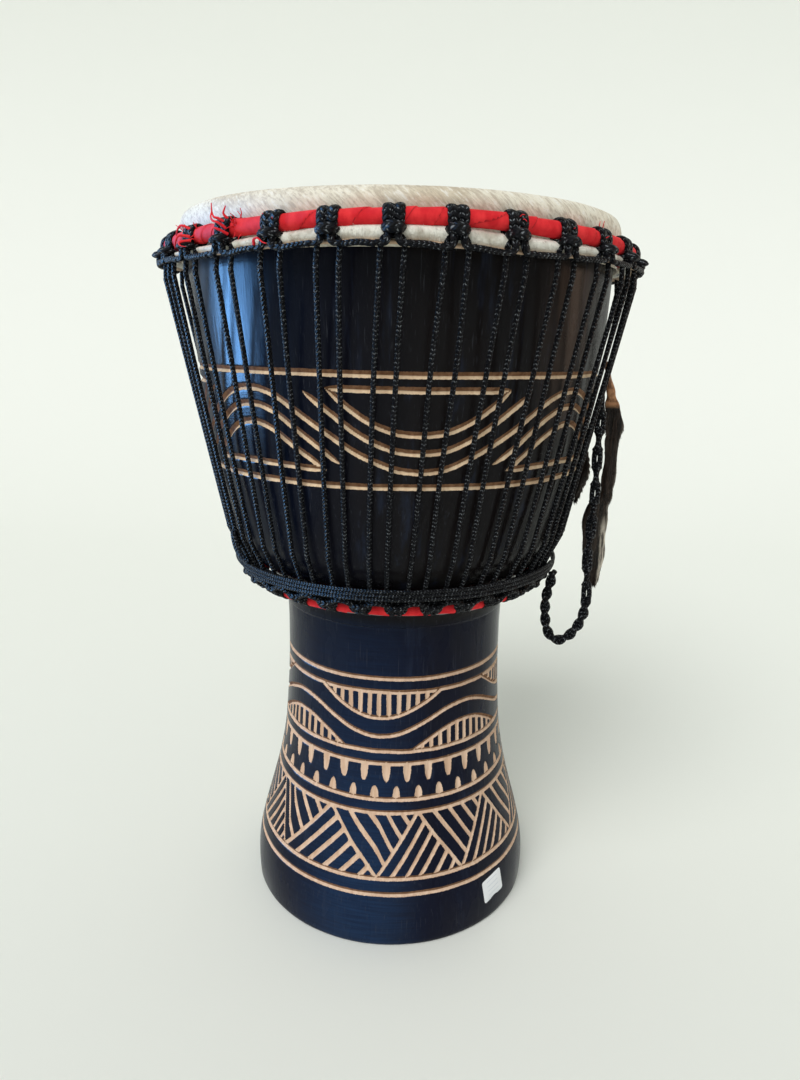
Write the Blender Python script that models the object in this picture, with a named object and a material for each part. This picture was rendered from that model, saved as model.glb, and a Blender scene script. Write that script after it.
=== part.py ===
"""A djembe: a rope-tuned goblet drum, built piece by piece.

Metres, +Z up. The foot stands on Z = 0, the drum's axis is the Z axis, and the front faces -Y.
An azimuth is measured from the front (-Y) towards +X, in degrees. Profiles are given as
(radius, height) in millimetres and become metres when a mesh is made.
"""

import math

import bmesh
import bpy
from mathutils import Vector

MM = 0.001

# Driving dimensions, in millimetres
HEIGHT = 600.0
GAP = 0.35
ROPE_RADIUS = 1.9
SKIN_THICKNESS = 1.0
CLOTH_THICKNESS = 0.9

# Around the drum
LOOP_COUNT = 30
LOOP_STEP = 360.0 / LOOP_COUNT
FIRST_TOP_LOOP = -1.2
FIRST_BOTTOM_LOOP = 0.8
SHELL_SIDES = 40
LOOP_WIDTH = 9.0
TOP_SPREAD = 7.2
BOTTOM_SPREAD = 7.6

# The bearing edge, over which the skin is bent
EDGE_CENTRE = (168.0, 592.5)
EDGE_RADIUS = HEIGHT - EDGE_CENTRE[1]

# The rings: centre of the rod's section, and outer radius of what covers it
CROWN = (186.0, 578.5)
FLESH = (184.2, 567.0)
BOTTOM = (120.4, 301.8)
WRAPPED_RADIUS = 5.4
FLESH_WRAP_RADIUS = 3.8
ROD_RADIUS = 3.4
FLESH_ROD_RADIUS = 2.2

# The rope: runs between the loops, the turns of the lacing and the belt over it
CROWN_RUN = (194.4, 562.6)
BOTTOM_RUN = (136.2, 308.2)
TOP_TURN = (190.3, 567.0)
BOTTOM_TURN = (131.0, 304.8)
LACING_BENDS = ((191.2, 549.0), (147.6, 341.0), (138.6, 331.5))
BELT_START = (141.2, 318.0)
BELT_PITCH = 4.0
BELT_LEAN = 0.22
BELT_FROM = -56.0
BELT_TO = 69.0
BELT_TURNS = 2
FIRST_LACED_LOOP = -4

# The foot and stem, then the throat and bowl: outer surface from the floor up
STEM_PROFILE = (
    (129.3, 0.0), (130.6, 1.6), (131.3, 20.0), (129.2, 40.0), (124.0, 62.0), (117.0, 87.0),
    (110.0, 114.0), (104.0, 145.0), (101.0, 175.0), (98.8, 215.0), (98.2, 255.0), (98.8, 279.0),
)
BOWL_PROFILE = (
    (100.2, 280.5), (102.2, 290.0), (106.5, 300.0), (116.5, 312.0), (130.0, 325.0), (142.3, 345.0),
    (149.3, 370.0), (157.6, 406.0), (163.6, 440.0), (168.6, 480.0), (172.2, 520.0), (173.9, 560.0),
)
INNER_PROFILE = (
    (160.5, 585.0), (152.0, 470.0), (139.0, 400.0), (118.0, 345.0), (92.0, 305.0),
    (79.0, 270.0), (76.0, 225.0), (80.0, 165.0), (106.0, 40.0), (111.5, 0.0),
)

# The carrying rope, hanging in one upright plane beside the drum: a route through these points
HANDLE_AZIMUTH = 75.45
HANDLE_RADIUS = 4.5
HANDLE_ROUTE = (
    (172.9, 465.5), (174.0, 455.0), (173.9, 438.6), (173.6, 422.2), (173.9, 405.6), (174.3, 380.2),
    (174.7, 354.4), (175.1, 328.0), (174.9, 308.6), (174.2, 289.4), (171.6, 273.8), (166.0, 260.8),
    (157.6, 252.2), (149.2, 249.0), (142.6, 253.0), (139.2, 265.4), (139.0, 283.0), (140.8, 296.0),
    (142.8, 304.5), (143.4, 312.0),
)
HANDLE_STEPS = 3
HANDLE_TOP = (174.2, 452.0)

# The strip of hide hanging behind the carrying rope: (radius, height, width)
HIDE_AZIMUTH = 84.0
HIDE_THICKNESS = 2.0
HIDE_STATIONS = (
    (185.7, 498.0, 5.6), (186.8, 484.0, 8.6), (188.5, 465.0, 9.0), (189.5, 443.0, 12.5),
    (187.0, 425.0, 12.0), (184.0, 400.0, 11.0), (181.0, 365.0, 13.0), (178.5, 330.0, 12.0),
    (178.0, 300.0, 6.0),
)

# The paper label on the foot
LABEL_AZIMUTH = 46.0
LABEL_CENTRE = (130.6, 31.0)
LABEL_SIZE = (26.0, 22.0, 0.3)
LABEL_TURN = 8.0
LABEL_LEAN = -0.1


def remove_everything():
    for item in list(bpy.data.objects):
        bpy.data.objects.remove(item, do_unlink=True)


def make_material(name, colour, roughness, metallic=0.0):
    material = bpy.data.materials.new(name)
    material.use_nodes = True
    shader = material.node_tree.nodes["Principled BSDF"]
    shader.inputs["Base Color"].default_value = (*colour, 1.0)
    shader.inputs["Roughness"].default_value = roughness
    shader.inputs["Metallic"].default_value = metallic
    material.diffuse_color = (*colour, 1.0)
    return material


def link_object(name, data, material):
    item = bpy.data.objects.new(name, data)
    bpy.context.scene.collection.objects.link(item)
    data.materials.append(material)
    return item


def finish_mesh(name, bm, material, smooth=True):
    bmesh.ops.recalc_face_normals(bm, faces=bm.faces[:])
    mesh = bpy.data.meshes.new(name)
    bm.to_mesh(mesh)
    bm.free()
    if smooth:
        mesh.shade_smooth()
        mesh.set_sharp_from_angle(angle=math.radians(40.0))
    return link_object(name, mesh, material)


def around(azimuth, radius, height):
    """A point given in millimetres and degrees, in metres."""
    angle = math.radians(azimuth)
    return Vector((radius * math.sin(angle), -radius * math.cos(angle), height)) * MM


def beside(azimuth, across, radius, height):
    """A point in the upright frame at one azimuth: along the tangent, outwards and up."""
    angle = math.radians(azimuth)
    outward = Vector((math.sin(angle), -math.cos(angle), 0.0))
    tangent = Vector((math.cos(angle), math.sin(angle), 0.0))
    return (tangent * across + outward * radius + Vector((0.0, 0.0, height))) * MM


def arc(centre, radius, first, last, count):
    """Points on an arc, with the angle measured from outwards towards up."""
    points = []
    for step in range(count):
        angle = math.radians(first + (last - first) * step / (count - 1))
        points.append((centre[0] + radius * math.cos(angle), centre[1] + radius * math.sin(angle)))
    return points


def strip_outline(path, thickness):
    """The closed outline of a strip of even thickness that follows a path."""
    left, right = [], []
    for index, (radius, height) in enumerate(path):
        before = path[max(index - 1, 0)]
        after = path[min(index + 1, len(path) - 1)]
        along = Vector((after[0] - before[0], after[1] - before[1])).normalized()
        normal = Vector((-along.y, along.x)) * thickness / 2.0
        left.append((radius + normal.x, height + normal.y))
        right.append((radius - normal.x, height - normal.y))
    return left + right[::-1]


def turn_outline(name, outline, sides, start, material):
    """Turns a closed (radius, height) outline about the drum's axis; a point at radius 0 is a pole."""
    bm = bmesh.new()
    rings = []
    for radius, height in outline:
        if radius < GAP:
            pole = bm.verts.new((0.0, 0.0, height * MM))
            rings.append([pole] * sides)
        else:
            turns = [start + 360.0 * side / sides for side in range(sides)]
            rings.append([bm.verts.new(around(turn, radius, height)) for turn in turns])
    for index, ring in enumerate(rings):
        following = rings[(index + 1) % len(rings)]
        for side in range(sides):
            other = (side + 1) % sides
            corners = [ring[side], ring[other], following[other], following[side]]
            unique = [corner for place, corner in enumerate(corners) if corner not in corners[:place]]
            if len(unique) > 2:
                bm.faces.new(unique)
    return finish_mesh(name, bm, material)


def smooth_route(points, steps):
    """A Catmull-Rom curve through the points, read at a number of steps between each two."""
    vectors = [Vector(point) for point in points]
    ends = [vectors[0] * 2 - vectors[1]] + vectors + [vectors[-1] * 2 - vectors[-2]]
    route = []
    for index in range(1, len(ends) - 2):
        a, b, c, d = ends[index - 1:index + 3]
        square = 2 * a - 5 * b + 4 * c - d
        cube = 3 * b - a - 3 * c + d
        for step in range(steps):
            t = step / steps
            route.append((2 * b + (c - a) * t + square * t ** 2 + cube * t ** 3) / 2.0)
    return route + [vectors[-1]]


def make_rope(name, points, radius, resolution, material):
    """A round rope through points in metres, with closed ends."""
    curve = bpy.data.curves.new(name, "CURVE")
    curve.dimensions = "3D"
    curve.bevel_depth = radius * MM
    curve.bevel_resolution = resolution
    curve.use_fill_caps = True
    spline = curve.splines.new("POLY")
    spline.points.add(len(points) - 1)
    for place, point in zip(spline.points, points):
        place.co = (*point, 1.0)
    return link_object(name, curve, material)


def shell(material):
    """The wooden shell: carved from one log, open from the bearing edge to the foot."""
    edge = arc(EDGE_CENTRE, EDGE_RADIUS - SKIN_THICKNESS - 0.3, 0.0, 150.0, 5)
    turn_outline("shell", [*STEM_PROFILE, *BOWL_PROFILE, *edge, *INNER_PROFILE], SHELL_SIDES, 0.0, material)


def drumhead_skin(material):
    """The goat skin: across the head, over the bearing edge and round the flesh ring, to its cut edge."""
    middle = EDGE_RADIUS - SKIN_THICKNESS / 2.0
    wrap = arc(FLESH, FLESH_WRAP_RADIUS - SKIN_THICKNESS / 2.0, -100.0, 150.0, 6)
    bend = arc(EDGE_CENTRE, middle, 90.0, 0.0, 4)
    side = EDGE_CENTRE[0] + middle
    path = [(0.0, HEIGHT - SKIN_THICKNESS / 2.0), *bend, (side, 568.0), (side + 2.0, 563.9), *wrap]
    turn_outline("drumhead_skin", strip_outline(path, SKIN_THICKNESS), SHELL_SIDES, 0.0, material)


def corner_of(centre):
    """Where the corners of a ring with one side to each loop are, for sides centred on its circle."""
    return (centre[0] / math.cos(math.pi / LOOP_COUNT), centre[1])


def flesh_ring(material):
    """The steel ring that the edge of the skin is folded round."""
    turn_outline("flesh_ring", arc(FLESH, FLESH_ROD_RADIUS, 0.0, 288.0, 5), SHELL_SIDES, 0.0, material)


def wrapped_ring(name, centre, first, steel, cotton):
    """A steel ring, and the cotton wound round it, which is open along a seam that faces the drum."""
    corner = corner_of(centre)
    start = first + LOOP_STEP / 2.0
    turn_outline(name, arc(corner, ROD_RADIUS, 0.0, 288.0, 5), LOOP_COUNT, start, steel)
    path = arc(corner, WRAPPED_RADIUS - CLOTH_THICKNESS / 2.0, -165.0, 165.0, 6)
    turn_outline(name + "_cloth", strip_outline(path, CLOTH_THICKNESS), LOOP_COUNT, start, cotton)


def loop_plate(bm, outlines, azimuth):
    """One loop of rope: a flat outline with holes, as thick as the rope's strands are wide together."""
    edges = []
    for outline in outlines:
        corners = [bm.verts.new(beside(azimuth, -LOOP_WIDTH / 2.0, *point)) for point in outline]
        for index, corner in enumerate(corners):
            edges.append(bm.edges.new((corner, corners[(index + 1) % len(corners)])))
    filled = bmesh.ops.triangle_fill(bm, use_beauty=True, use_dissolve=False, edges=edges)
    faces = [item for item in filled["geom"] if isinstance(item, bmesh.types.BMFace)]
    grown = bmesh.ops.extrude_face_region(bm, geom=faces)
    moved = [item for item in grown["geom"] if isinstance(item, bmesh.types.BMVert)]
    bmesh.ops.translate(bm, verts=moved, vec=beside(azimuth, LOOP_WIDTH, 0.0, 0.0))


def loop_rope(name, run, outlines, first, material):
    """The rope that runs round the drum and is looped about a ring once in every step."""
    bm = bmesh.new()
    for index in range(LOOP_COUNT):
        loop_plate(bm, outlines, first + LOOP_STEP * index)
    guide = finish_mesh(name + "_guide", bm, material, smooth=False)
    guide.hide_render = True
    guide.display_type = "WIRE"
    section = arc(corner_of(run), ROPE_RADIUS, 0.0, 288.0, 5)
    rope = turn_outline(name, section, LOOP_COUNT, first + LOOP_STEP / 2.0, material)
    union = rope.modifiers.new("loops", "BOOLEAN")
    union.operation = "UNION"
    union.solver = "EXACT"
    union.object = guide


def ring_hole(centre):
    """The six-sided opening of a loop, round a wrapped ring."""
    return arc(centre, (WRAPPED_RADIUS + 0.6) / math.cos(math.radians(30.0)), 0.0, 300.0, 6)


def crown_loops(material):
    """Each loop goes over the crown ring and down, and hooks under a turn of the lacing."""
    outline = (
        (180.5, 587.5), (191.2, 587.7), (196.4, 582.5), (196.6, 562.6), (195.0, 560.5), (189.2, 560.5),
        (188.6, 564.6), (192.7, 564.6), (192.7, 571.2), (178.6, 571.2), (176.1, 574.5), (176.1, 583.8),
    )
    loop_rope("crown_loop_rope", CROWN_RUN, (outline, ring_hole(CROWN)), FIRST_TOP_LOOP, material)


def bottom_loops(material):
    """Each loop goes under the bottom ring, and its eye holds a turn of the lacing."""
    outline = (
        (116.5, 292.9), (123.8, 292.9), (131.0, 297.5), (136.6, 302.0), (136.9, 307.8), (134.8, 310.3),
        (117.2, 310.3), (113.2, 306.3), (111.4, 302.0), (111.4, 298.0),
    )
    eye = ((128.7, 302.5), (133.3, 302.5), (133.3, 307.1), (128.7, 307.1))
    outlines = (outline, ring_hole(BOTTOM), eye)
    loop_rope("bottom_loop_rope", BOTTOM_RUN, outlines, FIRST_BOTTOM_LOOP, material)


def turn_at(azimuth, spread, turn):
    """Where the lacing turns through a loop, from left to right."""
    return [beside(azimuth, across, *turn) for across in (-spread, spread)]


def leg_bends(top_azimuth, bottom_azimuth):
    """Where a leg of the lacing bends: below its loop, and in under the belt."""
    bends = []
    for radius, height in LACING_BENDS:
        share = (TOP_TURN[1] - height) / (TOP_TURN[1] - BOTTOM_TURN[1])
        bends.append(around(top_azimuth + (bottom_azimuth - top_azimuth) * share, radius, height))
    return bends


def lacing_rope(material):
    """One rope, laced between the top and bottom loops all round the drum."""
    top_angle = math.degrees(math.atan2(TOP_SPREAD, TOP_TURN[0]))
    bottom_angle = math.degrees(math.atan2(BOTTOM_SPREAD, BOTTOM_TURN[0]))
    route = []
    for index in range(FIRST_LACED_LOOP, FIRST_LACED_LOOP + LOOP_COUNT):
        top = FIRST_TOP_LOOP + LOOP_STEP * index
        following = FIRST_BOTTOM_LOOP + LOOP_STEP * index
        before = following - LOOP_STEP
        route.append(turn_at(before, BOTTOM_SPREAD, BOTTOM_TURN)[1])
        route += leg_bends(top - top_angle, before + bottom_angle)[::-1]
        route += turn_at(top, TOP_SPREAD, TOP_TURN)
        route += leg_bends(top + top_angle, following - bottom_angle)
        route.append(turn_at(following, BOTTOM_SPREAD, BOTTOM_TURN)[0])
    route = route[:-1]
    make_rope("lacing_rope", route, ROPE_RADIUS, 1, material)


def belt_rope(material):
    """The rest of the rope, wound round the lacing just above the bottom ring."""
    sweep = 360.0 * BELT_TURNS + BELT_TO - BELT_FROM
    steps = round(sweep / LOOP_STEP)
    points = []
    for step in range(steps + 1):
        turned = sweep * step / steps
        rise = BELT_PITCH * turned / 360.0
        points.append(around(BELT_FROM + turned, BELT_START[0] + BELT_LEAN * rise, BELT_START[1] + rise))
    make_rope("belt_rope", points, ROPE_RADIUS, 1, material)


def carrying_rope(axis, material):
    """The end of the rope, braided into a loop to carry the drum by."""
    route = smooth_route(HANDLE_ROUTE, HANDLE_STEPS)
    points = [around(HANDLE_AZIMUTH, *point) - axis.location for point in route]
    rope = make_rope("carrying_rope", points, HANDLE_RADIUS, 2, material)
    rope.parent = axis


def handle_axis():
    """The empty on the line that the carrying rope swings about."""
    axis = bpy.data.objects.new("handle_axis", None)
    bpy.context.scene.collection.objects.link(axis)
    axis.location = around(HANDLE_AZIMUTH, *HANDLE_TOP)
    return axis


def hide_strip(material):
    """A strip of goat hide with its hair on, hanging beside the carrying rope."""
    bm = bmesh.new()
    rings = []
    for radius, height, width in HIDE_STATIONS:
        corners = [(-1, -1), (1, -1), (1, 1), (-1, 1)]
        ring = []
        for side, out in corners:
            across = side * HIDE_THICKNESS / 2.0
            ring.append(bm.verts.new(beside(HIDE_AZIMUTH, across, radius + out * width / 2.0, height)))
        rings.append(ring)
    for ring, following in zip(rings, rings[1:]):
        for side in range(4):
            other = (side + 1) % 4
            bm.faces.new((ring[side], ring[other], following[other], following[side]))
    bm.faces.new(rings[0])
    bm.faces.new(rings[-1])
    finish_mesh("hide_strip", bm, material)


def price_label(material):
    """A small blank paper label stuck on the foot."""
    width, height, thickness = LABEL_SIZE
    turn = math.radians(LABEL_TURN)
    bm = bmesh.new()
    layers = []
    for out in (0.0, thickness):
        corners = []
        for side, rise in ((-1, -1), (1, -1), (1, 1), (-1, 1)):
            x, y = side * width / 2.0, rise * height / 2.0
            across = x * math.cos(turn) - y * math.sin(turn)
            up = x * math.sin(turn) + y * math.cos(turn)
            radius = LABEL_CENTRE[0] + out + LABEL_LEAN * up
            corners.append(bm.verts.new(beside(LABEL_AZIMUTH, across, radius, LABEL_CENTRE[1] + up)))
        layers.append(corners)
    for side in range(4):
        other = (side + 1) % 4
        bm.faces.new((layers[0][side], layers[0][other], layers[1][other], layers[1][side]))
    bm.faces.new(layers[0])
    bm.faces.new(layers[1])
    finish_mesh("price_label", bm, material, smooth=False)


def build():
    remove_everything()
    black_wood = make_material("black_wood", (0.012, 0.013, 0.02), 0.35)
    goat_skin = make_material("goat_skin", (0.62, 0.56, 0.46), 0.75)
    steel = make_material("steel", (0.35, 0.35, 0.36), 0.4, 1.0)
    red_cotton = make_material("red_cotton", (0.62, 0.03, 0.03), 0.85)
    black_rope = make_material("black_rope", (0.02, 0.02, 0.024), 0.6)
    goat_hide = make_material("goat_hide", (0.05, 0.035, 0.025), 0.7)
    paper = make_material("paper", (0.85, 0.85, 0.85), 0.6)

    shell(black_wood)
    drumhead_skin(goat_skin)
    flesh_ring(steel)
    wrapped_ring("crown_ring", CROWN, FIRST_TOP_LOOP, steel, red_cotton)
    wrapped_ring("bottom_ring", BOTTOM, FIRST_BOTTOM_LOOP, steel, red_cotton)
    crown_loops(black_rope)
    bottom_loops(black_rope)
    lacing_rope(black_rope)
    belt_rope(black_rope)
    carrying_rope(handle_axis(), black_rope)
    hide_strip(goat_hide)
    price_label(paper)


build()
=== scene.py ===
"""The looks of a djembe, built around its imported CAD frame.

Metres, +Z up, the front faces -Y. The drum's sizes are in millimetres, and an azimuth is measured from
the front (-Y) towards +X, in degrees, as in the CAD source. Camera, lights and stage are in metres.
"""

import math

import bpy
import numpy as np
from mathutils import Matrix, Vector

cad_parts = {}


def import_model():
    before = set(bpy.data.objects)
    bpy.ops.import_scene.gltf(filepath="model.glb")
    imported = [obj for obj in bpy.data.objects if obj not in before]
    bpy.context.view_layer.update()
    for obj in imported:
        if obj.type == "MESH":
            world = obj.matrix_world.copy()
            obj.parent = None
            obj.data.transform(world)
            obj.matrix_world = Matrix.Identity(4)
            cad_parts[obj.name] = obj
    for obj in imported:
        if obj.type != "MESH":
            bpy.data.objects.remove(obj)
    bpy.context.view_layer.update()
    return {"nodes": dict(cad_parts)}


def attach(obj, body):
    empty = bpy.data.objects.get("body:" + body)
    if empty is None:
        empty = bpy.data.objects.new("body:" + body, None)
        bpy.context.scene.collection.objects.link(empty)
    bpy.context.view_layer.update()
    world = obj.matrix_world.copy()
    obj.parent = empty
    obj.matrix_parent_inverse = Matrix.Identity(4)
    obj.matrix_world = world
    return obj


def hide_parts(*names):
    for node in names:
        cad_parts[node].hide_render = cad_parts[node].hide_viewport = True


MM = 0.001

# The camera: a phone held about a drum's height away, a little above the drum's middle
CAMERA_PLACE = (0.0039, -0.688, 0.5051)
CAMERA_PITCH = 14.39
CAMERA_ROLL = 1.11
CAMERA_LENS = 25.67
SENSOR_HEIGHT = 36

# Around the drum, as in the CAD source. A pair is a radius and a height.
LOOP_COUNT = 30
LOOP_STEP = 360 / LOOP_COUNT
FIRST_TOP_LOOP = -1.2
FIRST_BOTTOM_LOOP = 0.8
CROWN = (186, 578.5)
FLESH = (184.2, 567)
FOLD = (185.6, 569.3)
CROWN_SECTION = 5.4
FLESH_SAG = -1.6
BOTTOM_RAISED = (121.8, 304.6)
TOP_TURN = (190.3, 567)
TOP_SPREAD = 7.2
BOTTOM_TURN = (131, 304.8)
BOTTOM_SPREAD = 7.6
LACING_BENDS = ((191.2, 549), (149.4, 349), (141.2, 331.5))
FIRST_LACED_LOOP = -4
BELT_START = (142.7, 318.3)
BELT_PITCH = 3.15
BELT_LEAN = 0.1
BELT_FROM = -56
BELT_TO = 69
BELT_TURNS = 2
BELT_FILLING = ((131.4, 312.6), (129.4, 318))

# A rope's mesh: the step between its rings in metres, its sides, and the height of its braid's lumps
ROPE_STEP = 0.0013
ROPE_SIDES = 12
BRAID = 0.05

# The shell's outer surface from the floor up, its inner surface down from the bearing edge, and that
# edge, as (radius, height)
STEM_PROFILE = (
    (129.3, 0), (130.6, 1.6), (131.3, 20), (129.2, 40), (124, 62), (117, 87), (110, 114), (104, 145),
    (101, 175), (98.8, 215), (98.2, 255), (98.8, 279),
)
BOWL_PROFILE = (
    (100.2, 280.5), (102.2, 290), (106.5, 300), (116.5, 312), (130, 325), (142.3, 345), (149.3, 370),
    (157.6, 406), (163.6, 440), (168.6, 480), (172.2, 520), (173.9, 560), (174.2, 592.5),
)
INNER_PROFILE = (
    (160.5, 585), (152, 470), (139, 400), (118, 345), (92, 305), (79, 270), (76, 225), (80, 165),
    (106, 40), (111.5, 0),
)
EDGE_CENTRE = (168, 592.5)
EDGE_ROUND = 6.2

# The carrying rope's route in its upright plane, as (radius, height)
HANDLE_AZIMUTH = 75.45
HANDLE_ROUTE = (
    (172.9, 465.5), (174, 455), (173.9, 438.6), (173.6, 422.2), (173.9, 405.6), (174.3, 380.2),
    (173.6, 354.4), (172.4, 330), (173, 311), (174.1, 295.3), (173.8, 282.4), (171.6, 271), (166.8, 260.4),
    (159.6, 251.9), (152.4, 248.6), (145.6, 251.6), (141.4, 260.6), (139.6, 273), (139.4, 286),
    (141.2, 296.5), (143, 304.5), (143.8, 312),
)

# The strip of hide: (radius, height, width) down its length
HIDE_AZIMUTH = 84
HIDE_STATIONS = (
    (177.4, 492.8, 3.5), (179.2, 482.5, 5), (182, 470.6, 6.4), (183.5, 462.6, 8.8), (184.9, 454.6, 11.8),
    (187.5, 441.6, 14.8), (187.7, 431.8, 13.5), (186.7, 425.2, 10.8), (187.2, 405.2, 11.4),
    (186.5, 388.2, 11.5), (185.4, 377, 12), (179.8, 368, 19.5), (178.2, 353, 21.5), (178.6, 336, 20.3),
    (179.8, 318.5, 17), (181, 304, 9), (181.5, 294, 3),
)
FLAP_AZIMUTH = 81
FLAP_STATIONS = (
    (163.5, 422, 3), (164.5, 410, 7), (164, 396, 9.5), (161, 382, 6), (158.5, 372, 2),
)

# The paper label on the foot
LABEL_AZIMUTH = 46
LABEL_CENTRE = (130.6, 31)
LABEL_SIZE = (26, 22)
LABEL_TURN = 8


# ---- geometry helpers


def around(azimuth, radius, height):
    """Points in metres from azimuths in degrees and radii and heights in millimetres."""
    angle = np.radians(azimuth)
    x, y, z = np.broadcast_arrays(radius * np.sin(angle), -radius * np.cos(angle), height)
    return np.stack([x, y, z], axis=-1) * MM


def beside(azimuth, across, radius, height):
    """A point in the upright frame at one azimuth: along the tangent, outwards and up."""
    angle = math.radians(azimuth)
    x = radius * math.sin(angle) + across * math.cos(angle)
    y = -radius * math.cos(angle) + across * math.sin(angle)
    return np.array([x, y, height]) * MM


def spline(points, steps=10):
    """A Catmull-Rom curve through the points, with a number of steps between each two."""
    line = np.asarray(points, float)
    line = np.vstack([2 * line[0] - line[1], line, 2 * line[-1] - line[-2]])
    t = (np.arange(steps) / steps)[:, None]
    parts = []
    for a, b, c, d in zip(line, line[1:], line[2:], line[3:]):
        square = 2 * a - 5 * b + 4 * c - d
        cube = 3 * b - a - 3 * c + d
        parts.append((2 * b + (c - a) * t + square * t**2 + cube * t**3) / 2)
    return np.vstack(parts + [line[-2:-1]])


def lengths_along(line):
    return np.concatenate([[0], np.cumsum(np.linalg.norm(np.diff(line, axis=0), axis=1))])


def even(line, step):
    """The same line with its points an even step apart, in its own units."""
    lengths = lengths_along(line)
    wanted = np.linspace(0, lengths[-1], max(2, round(lengths[-1] / step) + 1))
    return np.stack([np.interp(wanted, lengths, line[:, axis]) for axis in range(line.shape[1])], axis=1)


def unit(vectors):
    return vectors / np.maximum(np.linalg.norm(vectors, axis=-1, keepdims=True), 1e-12)


def smooth_noise(seed, *coordinates):
    """A wavy value from about -1 to 1 that repeats every 360 along its first coordinate."""
    draw = np.random.default_rng(seed)
    total = 0
    for _ in range(7):
        phase = draw.uniform(0, 2 * math.pi)
        value = np.radians(coordinates[0]) * draw.integers(3, 24) + phase
        for other in coordinates[1:]:
            value = value + other * draw.uniform(-0.12, 0.12)
        total = total + np.sin(value)
    return total / 4


def swelling(azimuth, middle, width):
    """One smooth rise from 0 to 1 and back, centred on an azimuth."""
    turn = (np.asarray(azimuth, float) - middle + 180) % 360 - 180
    return np.exp(-((turn / width) ** 2) / 2)


def unevenness(azimuth):
    """How far the flesh ring and the run of rope under it are above their even height."""
    left = 2 * swelling(azimuth, -8, 12) - 2.8 * swelling(azimuth, -46, 14)
    return left - 1.4 * swelling(azimuth, 27, 8)


def sag(azimuth):
    return FLESH_SAG + unevenness(azimuth)


def settle(vertices):
    """The crown isn't level: at the front it is a little high, and drawn down to the left and right."""
    points = np.array(vertices, float).reshape(-1, 3)
    azimuth = np.degrees(np.arctan2(points[:, 0], -points[:, 1]))
    level = 1.4 * swelling(azimuth, 6, 12) - 5.6 * swelling(azimuth, -60, 25)
    level -= 5 * swelling(azimuth, 68, 20)
    height = points[:, 2] / MM
    share = np.clip((height - 562) / 10, 0, 1) * np.clip((598 - height) / 9, 0, 1)
    points[:, 2] += level * share * MM
    return points


def hug(vertices, core, section, share, reach, fade):
    """Presses rope flat to the ring that it is wound on. Out to a reach from the ring's core line, each
    point's height over the ring's surface shrinks to a share, and from there the pressing fades out."""
    points = np.array(vertices) / MM
    radius = np.hypot(points[:, 0], points[:, 1])
    out, up = radius - core[0], points[:, 2] - core[1]
    distance = np.hypot(out, up)
    moved = (np.clip(distance, section, reach) - section) * (1 - share)
    moved *= np.clip((fade - distance) / (fade - reach), 0, 1)
    scale = 1 - moved / np.maximum(distance, 1e-6)
    new_radius = core[0] + out * scale
    points[:, 0] *= new_radius / radius
    points[:, 1] *= new_radius / radius
    points[:, 2] = core[1] + up * scale
    return points * MM


def all_round(rows, columns):
    """The azimuths of a grid with its columns once round the drum."""
    return np.broadcast_to(np.arange(columns) * 360 / columns, (rows, columns)).copy()


def grid_faces(rows, columns):
    """The faces of a grid whose last column meets its first."""
    row = np.arange(rows - 1)[:, None] * columns
    column = np.arange(columns)[None, :]
    following = (column + 1) % columns
    corners = [row + column, row + following, row + columns + following, row + columns + column]
    return np.stack(corners, axis=-1).reshape(-1, 4)


def add_object(name, data):
    item = bpy.data.objects.new(name, data)
    bpy.context.scene.collection.objects.link(item)
    return item


def add_piece(name, vertices, faces, material, stands_for=None, body="drum", smooth=True):
    """A mesh that rides on a CAD body and, where named, stands for a CAD node."""
    mesh = bpy.data.meshes.new(name)
    corners = [list(face) for face in np.asarray(faces, object).tolist()]
    mesh.from_pydata(settle(vertices).tolist(), [], corners)
    mesh.update()
    if smooth:
        mesh.shade_smooth()
    mesh.materials.append(material)
    piece = add_object(name, mesh)
    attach(piece, body)
    if stands_for:
        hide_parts(stands_for)
    return piece


def add_attribute(piece, name, values):
    attribute = piece.data.attributes.new(name, "FLOAT", "POINT")
    attribute.data.foreach_set("value", np.ascontiguousarray(values, dtype=np.float32).ravel())


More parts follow.
